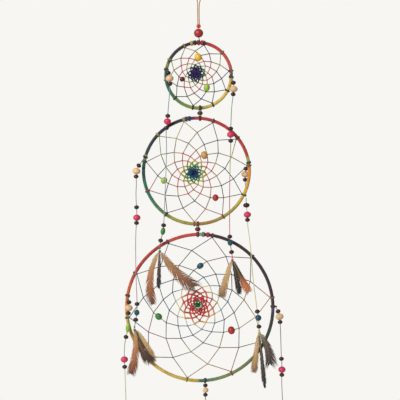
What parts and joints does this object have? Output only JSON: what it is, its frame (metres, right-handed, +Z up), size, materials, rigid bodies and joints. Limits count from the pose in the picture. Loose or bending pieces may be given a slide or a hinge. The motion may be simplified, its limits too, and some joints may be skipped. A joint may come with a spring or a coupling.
{
  "type": "dream catcher",
  "caption": "Hanging dream catcher: wound hoops one below the other, each with a knotted thread web and wooden beads, with beaded strands ending in feathers.",
  "frame": {"origin": "the nail's bearing point, under the crown of the hanging loop", "axes": "+Z up along the hanger, +X to the right seen from the front, the face of the hoops looks along -Y"},
  "size_m": [0.2122, 0.025, 0.5897],
  "materials": {
    "tan_cord": "waxed tan cord, twisted",
    "orange_knot": "orange-red thread, knotted",
    "crimson_bead": "dyed and lacquered wood",
    "dark_thread": "dark brown thread",
    "rust_thread": "rust thread",
    "ring_wire": "plain drawn wire",
    "small_yarn": "variegated yarn wound close round the ring",
    "middle_yarn": "variegated yarn wound close round the ring",
    "large_yarn": "variegated yarn wound close round the ring",
    "web_thread": "variegated waxed thread",
    "small_yellow_bead": "dyed and lacquered wood",
    "small_maroon_bead": "dyed and lacquered wood",
    "small_lime_bead": "dyed and lacquered wood",
    "middle_tan_bead": "dyed and lacquered wood",
    "middle_lime_bead": "dyed and lacquered wood",
    "middle_red_bead": "dyed and lacquered wood",
    "large_teal_bead": "dyed and lacquered wood",
    "large_green_bead": "dyed and lacquered wood",
    "large_red_bead": "dyed and lacquered wood",
    "hitch_thread": "pale green and purple thread lashings",
    "strand_thread": "variegated waxed thread",
    "dark_beads": "dark stained wood, lacquered",
    "bright_beads": "dyed wood in natural, pink, green and teal, lacquered",
    "feathers": "natural brown, tan and black hackle feathers"
  },
  "bodies": {
    "hanger": {"hanging_loop": "tan_cord", "hanger_knot": "orange_knot"},
    "top_bead": {"top_bead": "crimson_bead"},
    "top_tie": {"top_tie": "dark_thread"},
    "small_hoop": {"small_ring": "ring_wire", "small_winding": "small_yarn", "small_web": "web_thread", "small_web_bead_yellow": "small_yellow_bead", "small_web_bead_maroon": "small_maroon_bead", "small_web_bead_lime": "small_lime_bead", "small_hitches": "hitch_thread"},
    "upper_link": {"upper_link_bead": "dark_beads", "upper_link_tie": "dark_thread"},
    "middle_hoop": {"middle_ring": "ring_wire", "middle_winding": "middle_yarn", "middle_web": "web_thread", "middle_web_bead_tan": "middle_tan_bead", "middle_web_bead_lime": "middle_lime_bead", "middle_web_bead_red": "middle_red_bead", "middle_hitches": "hitch_thread", "middle_right_top_thread": "strand_thread", "middle_right_top_beads": "bright_beads"},
    "lower_link": {"lower_link_bead": "dark_beads", "lower_link_tie": "rust_thread"},
    "large_hoop": {"large_ring": "ring_wire", "large_winding": "large_yarn", "large_web": "web_thread", "large_web_bead_teal": "large_teal_bead", "large_web_bead_green": "large_green_bead", "large_web_bead_red": "large_red_bead", "large_hitches": "hitch_thread"},
    "small_left_strand": {"small_left_thread": "strand_thread", "small_left_dark_beads": "dark_beads", "small_left_bright_beads": "bright_beads"},
    "small_right_strand": {"small_right_thread": "strand_thread", "small_right_dark_beads": "dark_beads", "small_right_bright_beads": "bright_beads"},
    "middle_left_strand": {"middle_left_thread": "strand_thread", "middle_left_dark_beads": "dark_beads", "middle_left_bright_beads": "bright_beads"},
    "middle_right_strand": {"middle_right_thread": "strand_thread", "middle_right_dark_beads": "dark_beads", "middle_right_bright_beads": "bright_beads"},
    "large_left_strand": {"large_left_thread": "strand_thread", "large_left_dark_beads": "dark_beads", "large_left_bright_beads": "bright_beads"},
    "large_right_strand": {"large_right_thread": "strand_thread", "large_right_dark_beads": "dark_beads", "large_right_bright_beads": "bright_beads"},
    "large_bottom_strand": {"large_bottom_thread": "strand_thread", "large_bottom_dark_beads": "dark_beads", "large_bottom_bright_beads": "bright_beads"},
    "small_left_plume": {"small_left_feathers": "feathers"},
    "small_right_plume": {"small_right_feathers": "feathers"},
    "middle_left_plume": {"middle_left_feathers": "feathers"},
    "middle_right_plume": {"middle_right_feathers": "feathers"},
    "large_left_plume": {"large_left_feathers": "feathers"},
    "large_right_plume": {"large_right_feathers": "feathers"},
    "large_bottom_plume": {"large_bottom_feathers": "feathers"}
  },
  "joints": [
    {"name": "hanger_sway", "type": "hinge", "parent": "hanger", "child": "top_bead", "pos_m": [0, 0, -0.0462], "axis": [0, 1, 0], "range_deg": [-25, 25]},
    {"name": "hanger_twist", "type": "hinge", "parent": "top_bead", "child": "top_tie", "pos_m": [0, 0, -0.0518], "axis": [0, 0, 1], "continuous": true},
    {"name": "small_hoop_swing", "type": "hinge", "parent": "top_tie", "child": "small_hoop", "pos_m": [0, 0, -0.06315], "axis": [1, 0, 0], "range_deg": [-30, 30]},
    {"name": "upper_link_swing", "type": "hinge", "parent": "small_hoop", "child": "upper_link", "pos_m": [0.0017, 0, -0.14161], "axis": [1, 0, 0], "range_deg": [0, 20]},
    {"name": "middle_hoop_swing", "type": "hinge", "parent": "upper_link", "child": "middle_hoop", "pos_m": [0.0017, 0, -0.1539], "axis": [1, 0, 0], "range_deg": [0, 20]},
    {"name": "lower_link_swing", "type": "hinge", "parent": "middle_hoop", "child": "lower_link", "pos_m": [-0.001, 0, -0.28073], "axis": [1, 0, 0], "range_deg": [0, 20]},
    {"name": "large_hoop_swing", "type": "hinge", "parent": "lower_link", "child": "large_hoop", "pos_m": [-0.001, 0, -0.29328], "axis": [1, 0, 0], "range_deg": [0, 20]},
    {"name": "small_left_strand_swing", "type": "hinge", "parent": "small_hoop", "child": "small_left_strand", "pos_m": [-0.03715, -0.0036, -0.09558], "axis": [1, 0, 0], "range_deg": [-60, 0]},
    {"name": "small_right_strand_swing", "type": "hinge", "parent": "small_hoop", "child": "small_right_strand", "pos_m": [0.0402, -0.0037, -0.10445], "axis": [1, 0, 0], "range_deg": [-60, 0]},
    {"name": "middle_left_strand_swing", "type": "hinge", "parent": "middle_hoop", "child": "middle_left_strand", "pos_m": [-0.06532, -0.0036, -0.20039], "axis": [1, 0, 0], "range_deg": [-60, 0]},
    {"name": "middle_right_strand_swing", "type": "hinge", "parent": "middle_hoop", "child": "middle_right_strand", "pos_m": [0.05718, 0.0042, -0.2487], "axis": [1, 0, 0], "range_deg": [-45, 0]},
    {"name": "large_left_strand_swing", "type": "hinge", "parent": "large_hoop", "child": "large_left_strand", "pos_m": [-0.08417, -0.0037, -0.36667], "axis": [1, 0, 0], "range_deg": [-60, 0]},
    {"name": "large_right_strand_swing", "type": "hinge", "parent": "large_hoop", "child": "large_right_strand", "pos_m": [0.09294, -0.0018, -0.37977], "axis": [1, 0, 0], "range_deg": [-60, 60]},
    {"name": "large_bottom_strand_swing", "type": "hinge", "parent": "large_hoop", "child": "large_bottom_strand", "pos_m": [0.00783, -0.0035, -0.46851], "axis": [1, 0, 0], "range_deg": [-60, 0]},
    {"name": "small_left_plume_swing", "type": "hinge", "parent": "small_left_strand", "child": "small_left_plume", "pos_m": [-0.04645, -0.0076, -0.31008], "axis": [1, 0, 0], "range_deg": [-45, 0]},
    {"name": "small_right_plume_swing", "type": "hinge", "parent": "small_right_strand", "child": "small_right_plume", "pos_m": [0.0403, -0.0076, -0.32045], "axis": [1, 0, 0], "range_deg": [-45, 0]},
    {"name": "middle_left_plume_swing", "type": "hinge", "parent": "middle_left_strand", "child": "middle_left_plume", "pos_m": [-0.07652, -0.0076, -0.40389], "axis": [1, 0, 0], "range_deg": [-45, 0]},
    {"name": "middle_right_plume_swing", "type": "hinge", "parent": "middle_right_strand", "child": "middle_right_plume", "pos_m": [0.07208, -0.0076, -0.4081], "axis": [1, 0, 0], "range_deg": [-45, 0]},
    {"name": "large_left_plume_swing", "type": "hinge", "parent": "large_left_strand", "child": "large_left_plume", "pos_m": [-0.08647, -0.0076, -0.54057], "axis": [1, 0, 0], "range_deg": [-45, 0]},
    {"name": "large_right_plume_swing", "type": "hinge", "parent": "large_right_strand", "child": "large_right_plume", "pos_m": [0.10224, -0.0022, -0.53938], "axis": [1, 0, 0], "range_deg": [-45, 45]},
    {"name": "large_bottom_plume_swing", "type": "hinge", "parent": "large_bottom_strand", "child": "large_bottom_plume", "pos_m": [0.00733, -0.004, -0.54651], "axis": [1, 0, 0], "range_deg": [-45, 0]}
  ]
}
